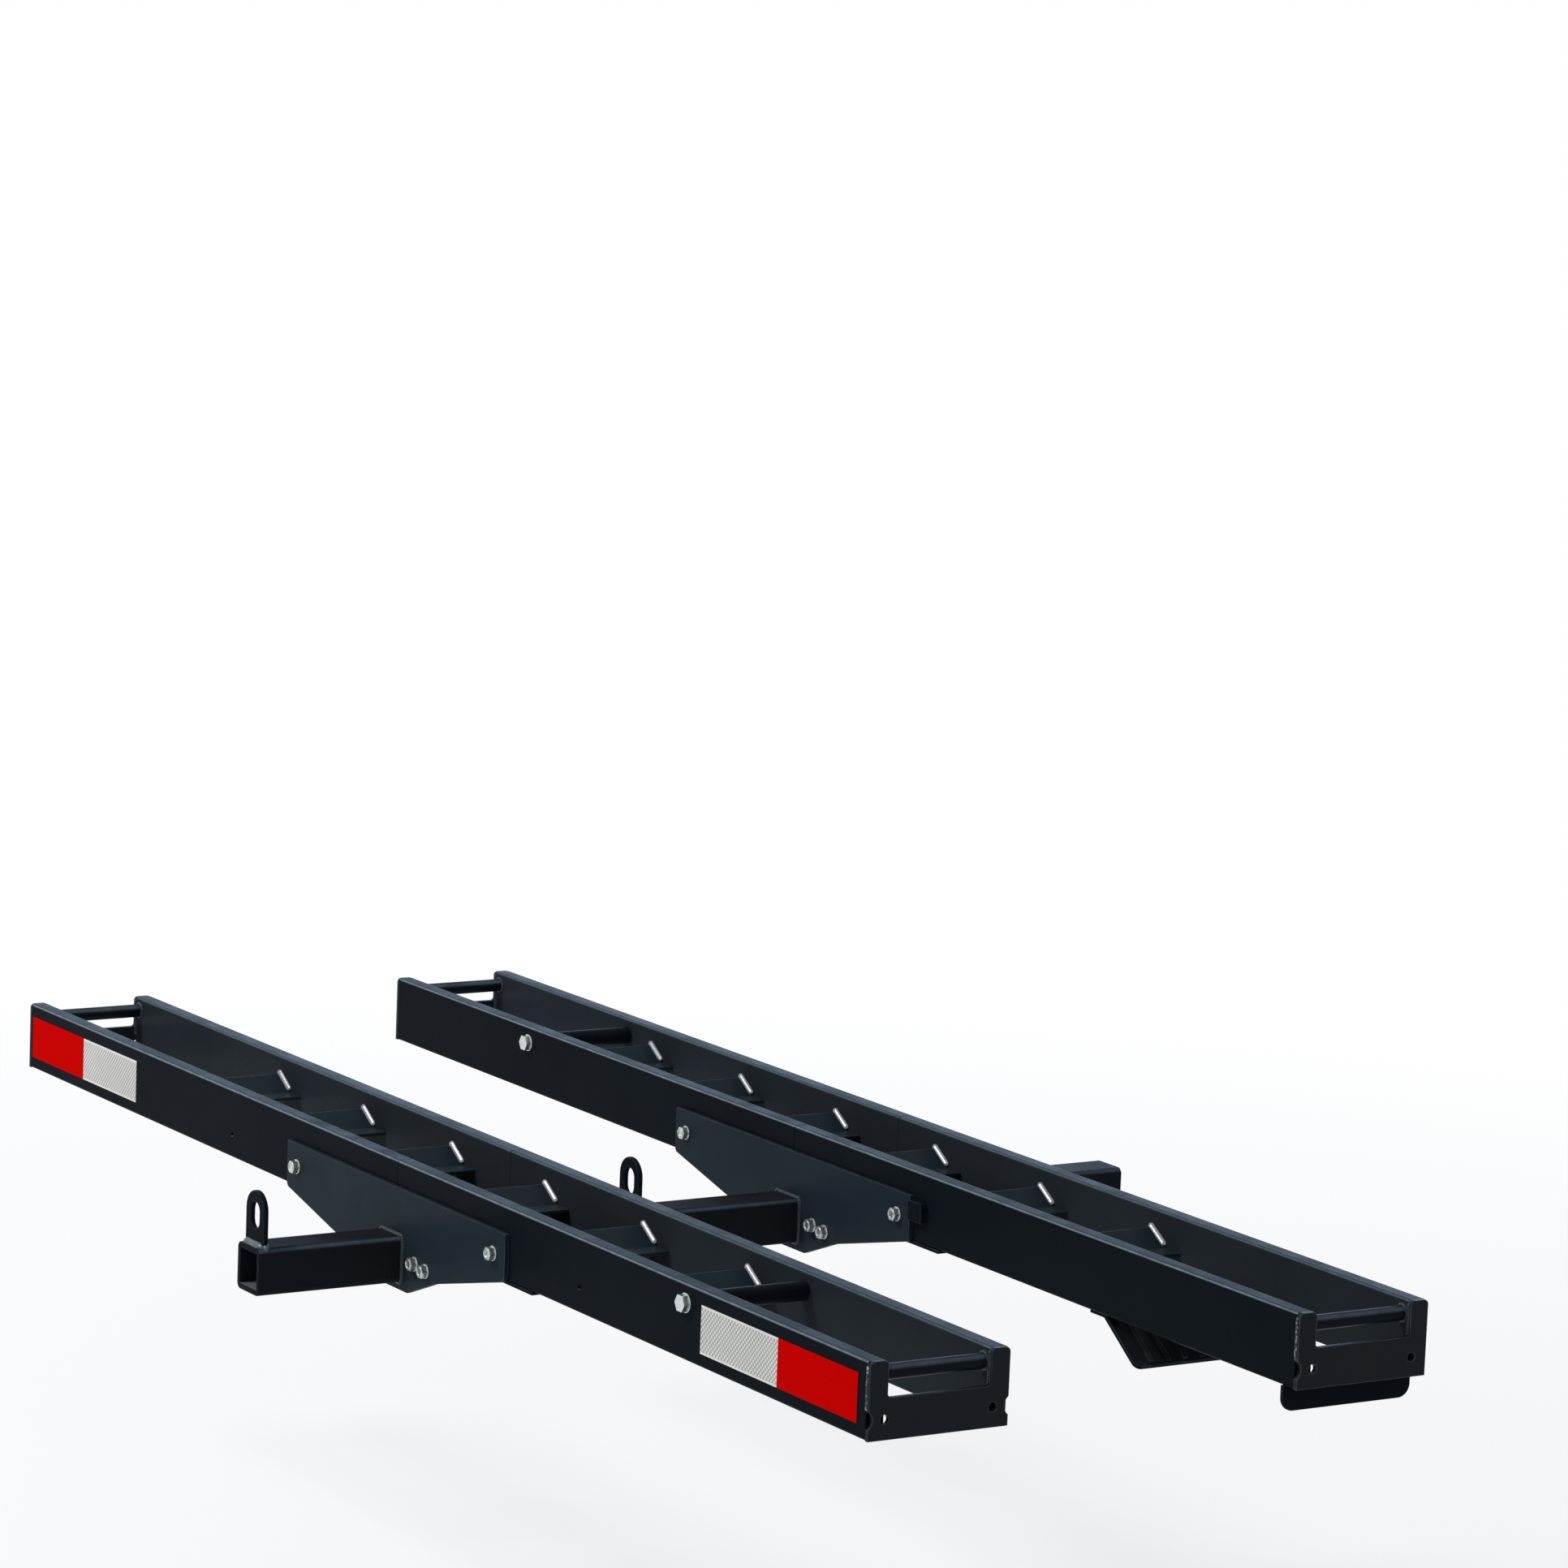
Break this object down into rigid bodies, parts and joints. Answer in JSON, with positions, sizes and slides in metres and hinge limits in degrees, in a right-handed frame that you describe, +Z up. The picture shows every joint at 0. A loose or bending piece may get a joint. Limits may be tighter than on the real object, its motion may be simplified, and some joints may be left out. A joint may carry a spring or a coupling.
{
  "type": "hitch motorcycle carrier",
  "caption": "Two-track motorcycle carrier for a square hitch receiver, with ladder tracks, gusset plates, strap plates and reflectors, in gloss black powder coat.",
  "frame": {"origin": "middle of the hitch pin hole, on the centre line of the hitch tube", "axes": "+X along the tracks and along the hitch pin, +Y towards the vehicle, +Z up"},
  "size_m": [1.88, 1.096, 0.1358],
  "materials": {
    "powder_coat": "gloss",
    "zinc": "satin",
    "red_reflector": "gloss",
    "white_reflector": "gloss"
  },
  "bodies": {
    "carrier": {"hitch_tube": "powder_coat", "rear_track_left_back_rail": "powder_coat", "rear_track_left_front_rail": "powder_coat", "rear_track_right_back_rail": "powder_coat", "rear_track_right_front_rail": "powder_coat", "front_track_left_back_rail": "powder_coat", "front_track_left_front_rail": "powder_coat", "front_track_right_back_rail": "powder_coat", "front_track_right_front_rail": "powder_coat", "rear_track_left_rungs": "powder_coat", "rear_track_right_rungs": "powder_coat", "front_track_left_rungs": "powder_coat", "front_track_right_rungs": "powder_coat", "rear_track_left_end_plate": "powder_coat", "rear_track_right_end_plate": "powder_coat", "front_track_left_end_plate": "powder_coat", "front_track_right_end_plate": "powder_coat", "rear_track_left_wheel_bar": "powder_coat", "rear_track_right_wheel_bar": "powder_coat", "front_track_left_wheel_bar": "powder_coat", "front_track_right_wheel_bar": "powder_coat", "rear_track_back_gusset": "powder_coat", "rear_track_front_gusset": "powder_coat", "front_track_back_gusset": "powder_coat", "front_track_front_gusset": "powder_coat", "rear_track_floor_plates": "powder_coat", "front_track_floor_plates": "powder_coat", "rear_gusset_bolts": "zinc", "rear_gusset_washers": "zinc", "rear_gusset_nuts": "zinc", "front_gusset_bolts": "zinc", "front_gusset_washers": "zinc", "front_gusset_nuts": "zinc", "rear_tie_bolts": "zinc", "rear_tie_washers": "zinc", "rear_tie_nuts": "zinc", "front_tie_bolts": "zinc", "front_tie_washers": "zinc", "front_tie_nuts": "zinc", "rear_wheel_stop_bolt": "zinc", "rear_wheel_stop_washers": "zinc", "rear_wheel_stop_nut": "zinc", "front_wheel_stop_bolt": "zinc", "front_wheel_stop_washers": "zinc", "front_wheel_stop_nut": "zinc", "rear_tie_down_plate": "powder_coat", "middle_tie_down_plate": "powder_coat", "front_tie_down_plate": "powder_coat", "red_reflectors": "red_reflector", "white_reflectors": "white_reflector", "sloping_hanging_plate": "powder_coat", "upright_hanging_plate": "powder_coat", "front_track_side_lug": "powder_coat"},
    "rear_stop_sleeve": {"rear_wheel_stop_sleeve": "powder_coat"},
    "front_stop_sleeve": {"front_wheel_stop_sleeve": "powder_coat"}
  },
  "joints": [
    {"name": "rear_stop_sleeve_turn", "type": "hinge", "parent": "carrier", "child": "rear_stop_sleeve", "pos_m": [0.604, -0.7735, 0.0834], "axis": [0, 1, 0], "continuous": true},
    {"name": "front_stop_sleeve_turn", "type": "hinge", "parent": "carrier", "child": "front_stop_sleeve", "pos_m": [-0.604, -0.2785, 0.0834], "axis": [0, 1, 0], "continuous": true}
  ]
}
